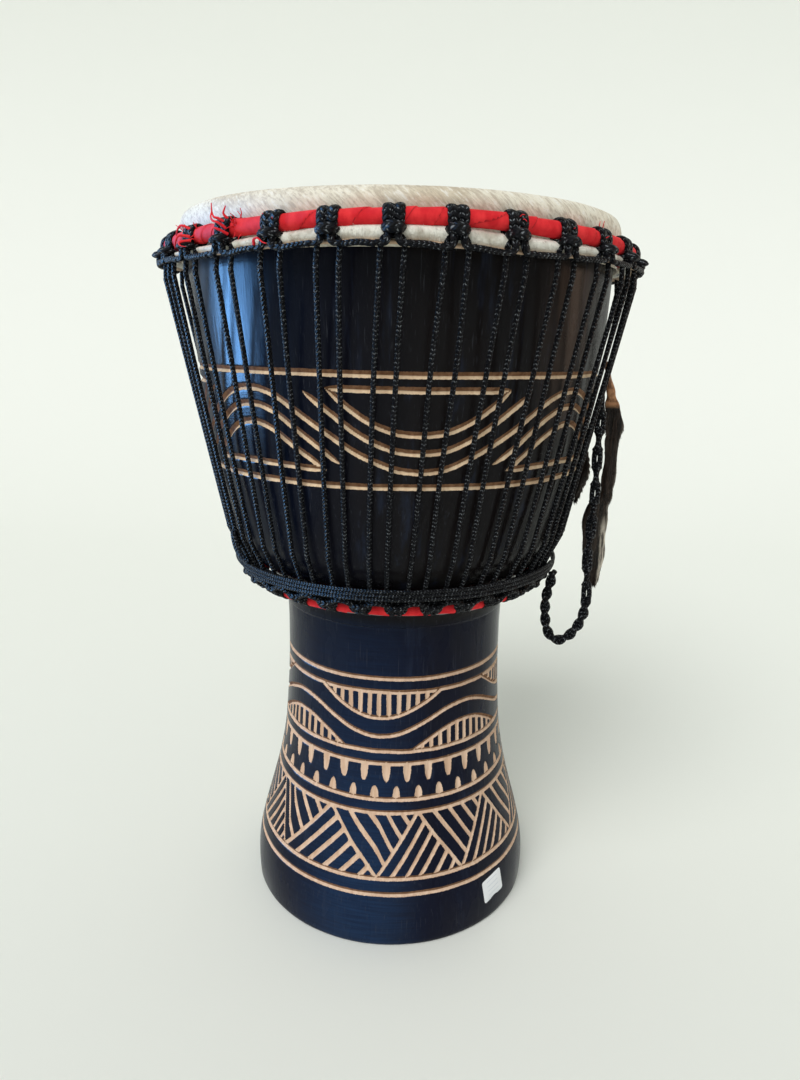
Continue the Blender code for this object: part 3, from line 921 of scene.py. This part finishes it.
def build_frays(cotton):
    frays = Ropes()
    draw = np.random.default_rng(7)
    for azimuth, count in FRAYS:
        for _ in range(count):
            at = azimuth + draw.normal(0, 0.9)
            turn = math.radians(draw.uniform(-60, 100))
            lift = draw.uniform(2, 6.5)
            start = np.array([CROWN[0] + 5.6 * math.cos(turn), CROWN[1] + 5.6 * math.sin(turn)])
            leans = (turn + draw.normal(0, 0.5), turn + draw.normal(0, 0.5))
            tip = start + lift * np.array([math.cos(leans[0]), math.sin(leans[1])])
            bend = (start + tip) / 2 + draw.normal(0, 1, 2)
            side = draw.normal(0, 2.2)
            points = [beside(at, 0, *start), beside(at, side / 2, *bend), beside(at, side, *tip)]
            thread = even(spline(points, 5), 0.0012)
            frays.add(thread, np.linspace(0.45, 0.2, len(thread)), 5, 0)
    for at, points in RIBBONS:
        ribbon = spline([beside(at, *point) for point in points], 8)
        frays.add(ribbon, np.linspace(1.1, 0.35, len(ribbon)), 8, 0)
    frays.make("cotton_frays", cotton)


def hairs(name, roots, directions, lengths, width, material, bend=0.35):
    """Short hairs as thin bent blades, two faces each."""
    draw = np.random.default_rng(5)
    count = len(roots)
    across = unit(np.cross(directions, draw.normal(size=(count, 3)))) * width * MM / 2
    reach = directions * lengths[:, None] * MM
    sideways = unit(draw.normal(size=(count, 3))) * (lengths * bend)[:, None] * MM
    middle = roots + 0.55 * reach + 0.25 * sideways
    tip = roots + reach + sideways
    corners = [roots - across, roots + across, middle + 0.7 * across, middle - 0.7 * across, tip]
    start = (np.arange(count) * len(corners))[:, None]
    faces = (start + np.array([[0, 1, 2, 3]])).tolist() + (start + np.array([[3, 2, 4]])).tolist()
    return add_piece(name, np.stack(corners, axis=1), faces, material)


def build_flesh_ring(steel):
    """The ring in the skin's fold, which hangs a little unevenly, and the hair left on the fold."""
    fur = white_fur()

    def fold(azimuth, turn):
        return 5 + 0.3 * smooth_noise(41, azimuth, 0.1 * turn) + 0.12 * smooth_noise(42, 3 * azimuth, turn)

    torus("flesh_ring", FLESH, 360, 12, 2.2, steel, "flesh_ring", sagging=True)
    torus("skin_fold", FOLD, 1300, 20, fold, fur, "drumhead_skin", sagging=True)
    draw = np.random.default_rng(9)
    azimuth = draw.uniform(0, 360, HAIR_COUNT)
    turn = np.radians(draw.uniform(-85, 95, HAIR_COUNT))
    roots = around(azimuth, FOLD[0] + 4.8 * np.cos(turn), FOLD[1] + 4.8 * np.sin(turn) + sag(azimuth))
    out = around(azimuth, np.cos(turn), np.sin(turn)) / MM
    down = np.array([0, 0, -0.75]) + 0.35 * draw.normal(size=(HAIR_COUNT, 3))
    lengths = draw.uniform(1, 2.4, HAIR_COUNT)
    hairs("skin_fold_hair", roots, unit(0.6 * out + down), lengths, 0.2, fur)


# ---- the ropes

# Half a loop over the crown ring, as (across, radius, height, rope radius). The other half mirrors it.
CROWN_HALF = (
    (-11, 195.3, 561.4, 1.9), (-8, 195.4, 561.2, 1.9), (-5.6, 195.5, 561.3, 2), (-4, 195.4, 562.6, 2.2),
    (-3.2, 195, 565.2, 2.5), (-3.1, 194.4, 568.8, 2.9), (-3.4, 193.6, 573.6, 3.4), (-3.5, 193, 578.5, 3.6),
    (-3.5, 191.2, 583.3, 3.6), (-3.5, 186.4, 585.4, 3.5), (-3.5, 181, 583.6, 3), (-3.5, 178.9, 578.5, 2.4),
    (-4.4, 180.4, 573, 2.2), (-5.6, 185.6, 569.4, 2.2), (-5.4, 191.8, 569.2, 2.6), (-4, 195.8, 570.4, 3.2),
    (-1.9, 197, 570.9, 3.5),
)
# The rope's other turn, in the groove between the two halves
CROWN_GROOVE = (
    (0, 192.6, 572), (0, 192.4, 578.5), (0, 190.6, 582.8), (0, 186.4, 584.8), (0, 181.6, 582.8),
    (0, 179.8, 577),
)
# Half a loop under the bottom ring
BOTTOM_HALF = (
    (-8.4, 136.8, 312.6, 2.1), (-6.4, 136.6, 311.8, 2.2), (-4.6, 135.6, 310, 2.4), (-3.4, 133.2, 307, 2.6),
    (-3, 130.4, 303.6, 2.5), (-2.9, 126.6, 300.3, 2.2), (-2.8, 121.6, 298.9, 1.9), (-2.8, 117, 300.6, 1.8),
    (-3, 115.2, 304.6, 1.8), (-3.6, 117.2, 309.2, 1.9), (-4.6, 123, 311.6, 2), (-5.2, 130, 311.6, 2.2),
    (-4.4, 135.2, 310.4, 2.5), (-2.2, 136.9, 309.6, 2.6),
)
# From one loop to the next, as (across, radius, height) from the loop
CROWN_RUN = ((10.4, 195.2, 560.8), (13, 195.4, 561))
CROWN_RUN_MIDDLE = (196, 561.3)
BOTTOM_RUN = ((8, 136.8, 312.4), (10.2, 137, 313.4))
BOTTOM_RUN_MIDDLE = (137.8, 314)
# The free end of the lacing, knotted into a loop over the belt
END_LOOP_AZIMUTH = -60
END_LOOP = (
    (8, 145, 328.6), (4.6, 148.6, 331.6), (-2.4, 150.6, 338), (-5.6, 151.6, 347), (-3, 152.2, 351.6),
    (-0.2, 151, 345.4), (2.4, 149.4, 337), (7.6, 147.6, 331), (12.2, 144.6, 328.4),
)
# How rope is pressed to its ring: the share of its height that is left, and hug()'s reach and fade
CROWN_PRESS = (0.5, 11.5, 16)
BOTTOM_PRESS = (0.35, 9.5, 14)
GROOVE_ROPE = 2.7
CROWN_RUN_ROPE = 1.95
BOTTOM_RUN_ROPE = 2.15
LACING_ROPE = 1.85
BELT_ROPE = 1.58
FILLING_ROPE = 2.5
END_LOOP_ROPE = 1.9


def cow_hitch(half, azimuth, slip, sagging, loops):
    """Adds one loop: up over its ring, down behind it, and a bar across the front. Where it sags, its
    foot follows the run of rope."""
    bar = (0, half[-1][1] + 0.3, half[-1][2], half[-1][3])
    mirrored = [(-across, *rest) for across, *rest in half[::-1]]
    route = spline([*half, bar, *mirrored], 6)
    line = np.array([beside(azimuth, across + slip, radius, height) for across, radius, height, _ in route])
    if sagging:
        low = np.clip((half[0][2] + 11 - route[:, 2]) / 10, 0, 1)
        line[:, 2] += unevenness(azimuth) * low * MM
    loops.add(line, route[:, 3])


def link_run(azimuth, near, middle, lifts, wander):
    """Points from one loop to the next by a middle point, with a lift for the start, middle and end."""
    following = azimuth + LOOP_STEP
    first = [beside(azimuth, across, radius, height + lifts[0]) for across, radius, height in near]
    last = [beside(following, -across, radius, height + lifts[2]) for across, radius, height in near[::-1]]
    return [*first, around(azimuth + LOOP_STEP / 2, middle[0], middle[1] + lifts[1] + wander), *last]


def build_crown_loops(rope):
    draw = np.random.default_rng(17)
    loops = Ropes()
    run = Ropes()
    for index in range(LOOP_COUNT):
        azimuth = FIRST_TOP_LOOP + LOOP_STEP * index
        cow_hitch(CROWN_HALF, azimuth, draw.normal(0, 0.35), True, loops)
        loops.through([beside(azimuth, *point) for point in CROWN_GROOVE], GROOVE_ROPE, 10)
        lifts = [unevenness(azimuth + LOOP_STEP * share) for share in (0, 0.5, 1)]
        points = link_run(azimuth, CROWN_RUN, CROWN_RUN_MIDDLE, lifts, draw.normal(0, 0.3))
        run.through(points, CROWN_RUN_ROPE)
    pressed = (CROWN, CROWN_SECTION, *CROWN_PRESS)
    loops.make("crown_loop_rope", rope, pressed=pressed, stands_for="crown_loop_rope")
    run.make("crown_loop_run", rope, stands_for="crown_loop_rope")


def build_bottom_loops(rope):
    draw = np.random.default_rng(19)
    loops = Ropes()
    level = (0, 0, 0)
    for index in range(LOOP_COUNT):
        azimuth = FIRST_BOTTOM_LOOP + LOOP_STEP * index
        cow_hitch(BOTTOM_HALF, azimuth, draw.normal(0, 0.4), False, loops)
        run = link_run(azimuth, BOTTOM_RUN, BOTTOM_RUN_MIDDLE, level, draw.normal(0, 0.2))
        loops.through(run, BOTTOM_RUN_ROPE)
    pressed = (BOTTOM_RAISED, CROWN_SECTION, *BOTTOM_PRESS)
    loops.make("bottom_loop_rope", rope, pressed=pressed, stands_for="bottom_loop_rope")


def lacing_leg(top, top_side, bottom, bottom_side, draw):
    """One leg from a top turn down to a bottom turn, through its bends."""
    top_azimuth = top + top_side * math.degrees(math.atan2(TOP_SPREAD, TOP_TURN[0]))
    bottom_azimuth = bottom + bottom_side * math.degrees(math.atan2(BOTTOM_SPREAD, BOTTOM_TURN[0]))

    def slanting(radius, height, bow):
        share = (TOP_TURN[1] - height) / (TOP_TURN[1] - BOTTOM_TURN[1])
        return around(top_azimuth + (bottom_azimuth - top_azimuth) * share + bow, radius, height)

    route = [beside(top, 0, TOP_TURN[0], TOP_TURN[1] + 0.6),
             beside(top, top_side * (TOP_SPREAD - 2.6), TOP_TURN[0], TOP_TURN[1]),
             beside(top, top_side * TOP_SPREAD, TOP_TURN[0] + 0.2, TOP_TURN[1] - 4)]
    wobble = draw.normal(0, 0.12, 3)
    first, second, last = np.array(LACING_BENDS)
    for share in (0, 0.02, 0.3, 0.65, 0.97, 1):
        bow = wobble[0] * math.sin(math.pi * share) + wobble[1] * math.sin(2 * math.pi * share)
        route.append(slanting(*(first + (second - first) * share), bow))
    route += [slanting(*last, 0),
              beside(bottom, bottom_side * BOTTOM_SPREAD, BOTTOM_TURN[0] + 1, BOTTOM_TURN[1] + 5),
              beside(bottom, bottom_side * (BOTTOM_SPREAD - 2.4), BOTTOM_TURN[0], BOTTOM_TURN[1]),
              beside(bottom, 0, BOTTOM_TURN[0], BOTTOM_TURN[1] - 0.4)]
    return even(spline(route, 12), 0.002)


def build_lacing(rope):
    draw = np.random.default_rng(23)
    legs = Ropes()
    for index in range(FIRST_LACED_LOOP, FIRST_LACED_LOOP + LOOP_COUNT):
        top = FIRST_TOP_LOOP + LOOP_STEP * index
        following = FIRST_BOTTOM_LOOP + LOOP_STEP * index
        legs.add(lacing_leg(top, -1, following - LOOP_STEP, 1, draw), LACING_ROPE, 10)
        legs.add(lacing_leg(top, 1, following, -1, draw), LACING_ROPE, 10)
    legs.make("lacing_rope", rope, stands_for="lacing_rope")


def build_belt(rope):
    """The belt's turns over the filling rope inside them, and the lacing's free end above."""
    turned = np.arange(0, 360 * BELT_TURNS + BELT_TO - BELT_FROM, 2)
    rise = BELT_PITCH * turned / 360
    wander = 0.15 * smooth_noise(51, turned, 0.02 * turned)
    radius = BELT_START[0] + BELT_LEAN * rise + 0.12 * smooth_noise(52, turned)
    belt = Ropes()
    belt.add(even(around(BELT_FROM + turned, radius, BELT_START[1] + rise + wander), 0.0014), BELT_ROPE)
    once = turned[turned < 360]
    for radius, height in BELT_FILLING:
        hoop = around(once, radius, height + 0.3 * smooth_noise(53, once))
        belt.add(np.vstack([hoop, hoop[:1]]), FILLING_ROPE, 10)
    belt.make("belt_rope", rope, stands_for="belt_rope")
    end_loop = Ropes()
    end_loop.through([beside(END_LOOP_AZIMUTH, *point) for point in END_LOOP], END_LOOP_ROPE, braid=0.07)
    end_loop.make("lacing_end_loop", rope)


# ---- the carrying rope and the hide

# The chained part and its links, and the twisted part below, along and across the rope's route
CHAIN_END = 178
LINK = 14.5
LINK_OVERLAP = 2.8
LINK_WIDTH = 2.4
LINK_ROPE = 2.2
KNOT_RADIUS = 2.8
KNOT_ROPE = 1.8
TWIST = 24
TWIST_REACH = 2.2
STRAND = 2.4


def handle_frame(step):
    """The carrying rope's route in metres, with its sideways and outward directions."""
    route = spline(HANDLE_ROUTE, 8)
    line = even(around(HANDLE_AZIMUTH, route[:, 0], route[:, 1]), step)
    sideways = np.broadcast_to(beside(HANDLE_AZIMUTH, 1, 0, 0) / MM, line.shape)
    outward = unit(np.cross(unit(np.gradient(line, axis=0)), sideways))
    return line, sideways, outward


def build_handle(rope):
    """The upper part is one rope chained into links, and the lower part two strands twisted."""
    line, sideways, outward = handle_frame(0.0012)
    length = lengths_along(line)
    at = length / MM

    def carried(along, reach, depth):
        """Points at places along the rope, moved aside and outward by millimetres."""
        centre, aside, out = (
            np.stack([np.interp(along, at, part[:, k]) for k in range(3)], axis=1)
            for part in (line, sideways, outward)
        )
        return centre + (aside * reach[:, None] + out * depth[:, None]) * MM

    handle = Ropes()
    count = round(CHAIN_END / LINK)
    angles = np.radians(np.arange(0, 361, 12))
    for link in range(count):
        middle = (link + 0.5) * CHAIN_END / count
        along = middle + (LINK / 2 + LINK_OVERLAP) * np.cos(angles)
        reach = LINK_WIDTH * np.sign(np.sin(angles)) * np.abs(np.sin(angles)) ** 0.7
        depth = 0.8 * np.sin(2 * angles)
        flat = link % 2 == 0
        handle.add(carried(along, reach if flat else depth, depth if flat else reach), LINK_ROPE)
        joint = middle + LINK / 2 + 0.9 * np.cos(angles)
        handle.add(carried(joint, KNOT_RADIUS * np.cos(angles), KNOT_RADIUS * np.sin(angles)), KNOT_ROPE)
    twisted = at[at > CHAIN_END - 4]
    turn = 2 * math.pi * (twisted - CHAIN_END) / TWIST
    for sign in (-1, 1):
        reach = sign * TWIST_REACH
        handle.add(carried(twisted, reach * np.sin(turn), reach * np.cos(turn)), STRAND)
    piece = handle.make("carrying_rope", rope, stands_for="carrying_rope", body="handle")


def fading(values, start, width):
    """0 up to a start, 1 a width further on, and even between."""
    return np.clip((values - start) / width, 0, 1)


def hide_point(azimuth, stations, along, across, layer):
    """A place on a strip: shares of its length and half width, and -1 or 1 for its two sides."""
    rows = np.arange(len(stations))
    radius, height, width = (np.interp(along * rows[-1], rows, stations[:, k]) for k in range(3))
    curl = 2.2 * math.sin(3.5 * math.pi * along) + 1.2
    side = 0.75 * layer + curl * (across**2 - 0.5) + 1.2 * math.sin(9 * along + 2 * across)
    ragged = 0.5 * math.sin(61 * along) * across**3
    return beside(azimuth, side, radius + across * width / 2 + ragged, height)


def strip(name, azimuth, stations, tan_until, pale_from, hide, stands_for):
    """A strip of hide that hangs edge on to the front."""
    rows, columns = len(stations), 15
    share = np.linspace(0, 1, rows)
    spread = np.linspace(-1, 1, columns)
    section = [(across, 1) for across in spread] + [(across, -1) for across in spread[::-1]]
    vertices = [hide_point(azimuth, stations, along, *place) for along in share for place in section]
    faces = grid_faces(rows, 2 * columns).tolist()
    faces.append(list(range(2 * columns))[::-1])
    faces.append(list(range((rows - 1) * 2 * columns, rows * 2 * columns)))
    piece = add_piece(name, vertices, faces, hide, stands_for)
    edge = np.tile([across for across, _ in section], rows)
    along = np.repeat(share, 2 * columns)
    # A painted sheen: a thin pale line along one edge of the strip, stored with the pale tips
    painted_edge_sheen = fading(edge, 0.80, 0.12) * fading(along, 0.30, 0.05) * 0.4
    pale = fading(along, pale_from, 0.06) * fading(edge, 0.38, 0.3)
    add_attribute(piece, "pale", np.maximum(pale, painted_edge_sheen))
    add_attribute(piece, "tan", np.clip((tan_until - along) / 0.02, 0, 1))


def strip_hair(name, azimuth, stations, tan_until, pale_from, hide, count, seed):
    """The short hair on a strip, below its bare tan part."""
    draw = np.random.default_rng(seed)
    along = draw.uniform(tan_until, 1, count)
    across = draw.uniform(-1, 1, count)
    layer = draw.choice([-1, 1], count)
    roots = np.array([hide_point(azimuth, stations, *each) for each in zip(along, across, layer)])
    out = around(azimuth, 1, 0) / MM
    tangent = beside(azimuth, 1, 0, 0) / MM
    lean = 0.18 * across[:, None] * out + 0.2 * layer[:, None] * tangent
    directions = unit(np.array([0, 0, -1]) + lean + 0.08 * draw.normal(size=(count, 3)))
    lengths = draw.uniform(1.5, 3.6, count)
    fur = hairs(name, roots, directions, lengths, 0.3, hide, bend=0.08)
    pale = fading(along, pale_from, 0.06) * (across > 0.45)
    corners = len(fur.data.vertices) // count
    add_attribute(fur, "pale", np.repeat(pale, corners))
    add_attribute(fur, "tan", np.zeros(corners * count))


def build_hide():
    hide = goat_hide()
    for name, azimuth, stations, tan_until, pale_from, count, seed, stands_for in (
        ("hide_strip", HIDE_AZIMUTH, HIDE_STATIONS, 0.255, 0.72, 4200, 29, "hide_strip"),
        ("hide_flap", FLAP_AZIMUTH, FLAP_STATIONS, 0, 2, 700, 37, None),
    ):
        places = (azimuth, spline(stations), tan_until, pale_from, hide)
        strip(name, *places, stands_for)
        strip_hair(name + "_hair", *places, count, seed)


# ---- the label

LABEL_CORNER = 2.2
LABEL_FRONT = 0.45
LABEL_BACK = 0.25
LABEL_RINGS = 6


def label_outline():
    """The label's edge on the flat: four rounded corners."""
    width, height = LABEL_SIZE
    outline = []
    for quarter, (x, y) in enumerate(((1, 1), (-1, 1), (-1, -1), (1, -1))):
        for step in range(6):
            angle = math.radians(90 * quarter + 18 * step)
            outline.append((x * (width / 2 - LABEL_CORNER) + LABEL_CORNER * math.cos(angle),
                            y * (height / 2 - LABEL_CORNER) + LABEL_CORNER * math.sin(angle)))
    return outline


def build_label():
    """A paper label with rounded corners, bent to the foot. Each face is rings round a middle point."""
    outline = label_outline()
    stem = spline(STEM_PROFILE)
    turn = math.radians(LABEL_TURN)
    shares = [1 - ring / LABEL_RINGS for ring in range(LABEL_RINGS)]
    flat = [(share * x, share * y) for share in shares for x, y in outline] + [(0, 0)]
    vertices = []
    for lift in (LABEL_FRONT, LABEL_BACK):
        for x, y in flat:
            across = x * math.cos(turn) - y * math.sin(turn)
            level = LABEL_CENTRE[1] + x * math.sin(turn) + y * math.cos(turn)
            radius = float(np.interp(level, stem[:, 1], stem[:, 0])) + lift
            vertices.append(around(LABEL_AZIMUTH + math.degrees(across / radius), radius, level))
    columns = len(outline)
    layer = len(flat)
    following = [(c + 1) % columns for c in range(columns)]
    inner = (LABEL_RINGS - 1) * columns
    faces = []
    for start, way in ((0, 1), (layer, -1)):
        quads = (grid_faces(LABEL_RINGS, columns) + start).tolist()
        fan = [[start + inner + c, start + inner + following[c], start + layer - 1] for c in range(columns)]
        faces += [face[::way] for face in quads + fan]
    faces += [[following[c], c, layer + c, layer + following[c]] for c in range(columns)]
    piece = add_piece("price_label", vertices, faces, label_paper(), "price_label", smooth=False)
    sheet = piece.data.uv_layers.new(name="sheet")
    for loop in piece.data.loops:
        x, y = flat[loop.vertex_index % layer]
        sheet.data[loop.index].uv = (x / LABEL_SIZE[0] + 0.5, y / LABEL_SIZE[1] + 0.5)


# ---- camera, light and floor

# Soft lights that show only as a shine: (name, place, target, size, power, colour)
LIGHTS = (
    ("window", (-1.5, 0.05, 0.82), (0, 0, 0.9), (0.55, 1.3), 32, (0.2, 0.5, 1)),
    ("lamp", (1.5, 0.15, 0.7), (0, 0, 0.35), (0.8, 1.2), 1.4, (1, 0.52, 0.26)),
)
DAYLIGHT_WAY = (0.30, 0.62, -0.75)
DAYLIGHT_POWER = 1.85
SKY_COLOUR = (0.95, 0.97, 0.95, 1)
SKY_POWER = 0.42
# The stage: its half width, where its bend starts and how wide it is, its height and its gap to the drum
STAGE_HALF = 30
STAGE_BEND = (1.2, 2)
STAGE_HEIGHT = 8
STAGE_GAP = 0.0002


def aimed(way):
    """The rotation of a light that shines along a direction."""
    return Vector(way).to_track_quat("-Z", "Y").to_euler()


def build_camera():
    camera = add_object("camera", bpy.data.cameras.new("camera"))
    camera.data.sensor_fit = "VERTICAL"
    camera.data.sensor_height = SENSOR_HEIGHT
    camera.data.lens = CAMERA_LENS
    camera.data.clip_start = 0.01
    camera.location = CAMERA_PLACE
    pitch = Matrix.Rotation(math.radians(90 - CAMERA_PITCH), 4, "X")
    camera.rotation_euler = (pitch @ Matrix.Rotation(math.radians(CAMERA_ROLL), 4, "Z")).to_euler()
    bpy.context.scene.camera = camera


def build_backdrop():
    """A floor that rises behind the drum in one wide curve to a wall."""
    start, bend = STAGE_BEND
    angles = np.radians(np.linspace(0, 90, 30))
    rise = [(start + bend * math.sin(angle), bend - bend * math.cos(angle)) for angle in angles]
    curve = [(-STAGE_HALF, 0), *rise, (start + bend, STAGE_HEIGHT)]
    vertices = [(x, y, z - STAGE_GAP) for y, z in curve for x in (-STAGE_HALF, STAGE_HALF)]
    faces = [(2 * row, 2 * row + 1, 2 * row + 3, 2 * row + 2) for row in range(len(curve) - 1)]
    mesh = bpy.data.meshes.new("backdrop")
    mesh.from_pydata(vertices, [], faces)
    mesh.shade_smooth()
    paper = Shade("backdrop", 0.95, Specular_IOR_Level=0.1)
    paper.use("Base Color", (0.85, 0.87, 0.82))
    mesh.materials.append(paper.material)
    add_object("backdrop", mesh)


def build_light():
    """Daylight from above and from all round, a cool shine from a window at the left, and a warm one
    from a lamp at the right."""
    world = bpy.data.worlds.new("studio")
    world.use_nodes = True
    background = world.node_tree.nodes["Background"]
    background.inputs["Color"].default_value = SKY_COLOUR
    background.inputs["Strength"].default_value = SKY_POWER
    bpy.context.scene.world = world
    bpy.context.scene.view_settings.view_transform = "Standard"
    for name, place, target, size, power, colour in LIGHTS:
        data = bpy.data.lights.new(name, "AREA")
        data.shape = "RECTANGLE"
        data.size, data.size_y = size
        data.energy = power
        data.spread = math.radians(90)
        data.color = colour
        light = add_object(name, data)
        light.location = place
        light.visible_camera = False
        light.visible_diffuse = False
        light.rotation_euler = aimed(Vector(target) - Vector(place))
    data = bpy.data.lights.new("daylight", "SUN")
    data.energy = DAYLIGHT_POWER
    data.angle = math.radians(40)
    add_object("daylight", data).rotation_euler = aimed(DAYLIGHT_WAY)


def steel_rods(frame):
    """The rods inside the cloth. The upper one follows the crown. Returns their steel."""
    steel = ring_steel()
    for slot in frame["nodes"]["bottom_ring"].material_slots:
        slot.material = steel
    torus("crown_rod", CROWN, 300, 12, 3.2, steel, "crown_ring")
    return steel


def main():
    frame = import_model()
    build_camera()
    rope = braided_rope()
    build_handle(rope)
    build_shell()
    build_skin()
    build_skin_edge()
    build_cloth()
    build_flesh_ring(steel_rods(frame))
    build_crown_loops(rope)
    build_bottom_loops(rope)
    build_lacing(rope)
    build_belt(rope)
    build_hide()
    build_label()
    build_backdrop()
    build_light()


main()
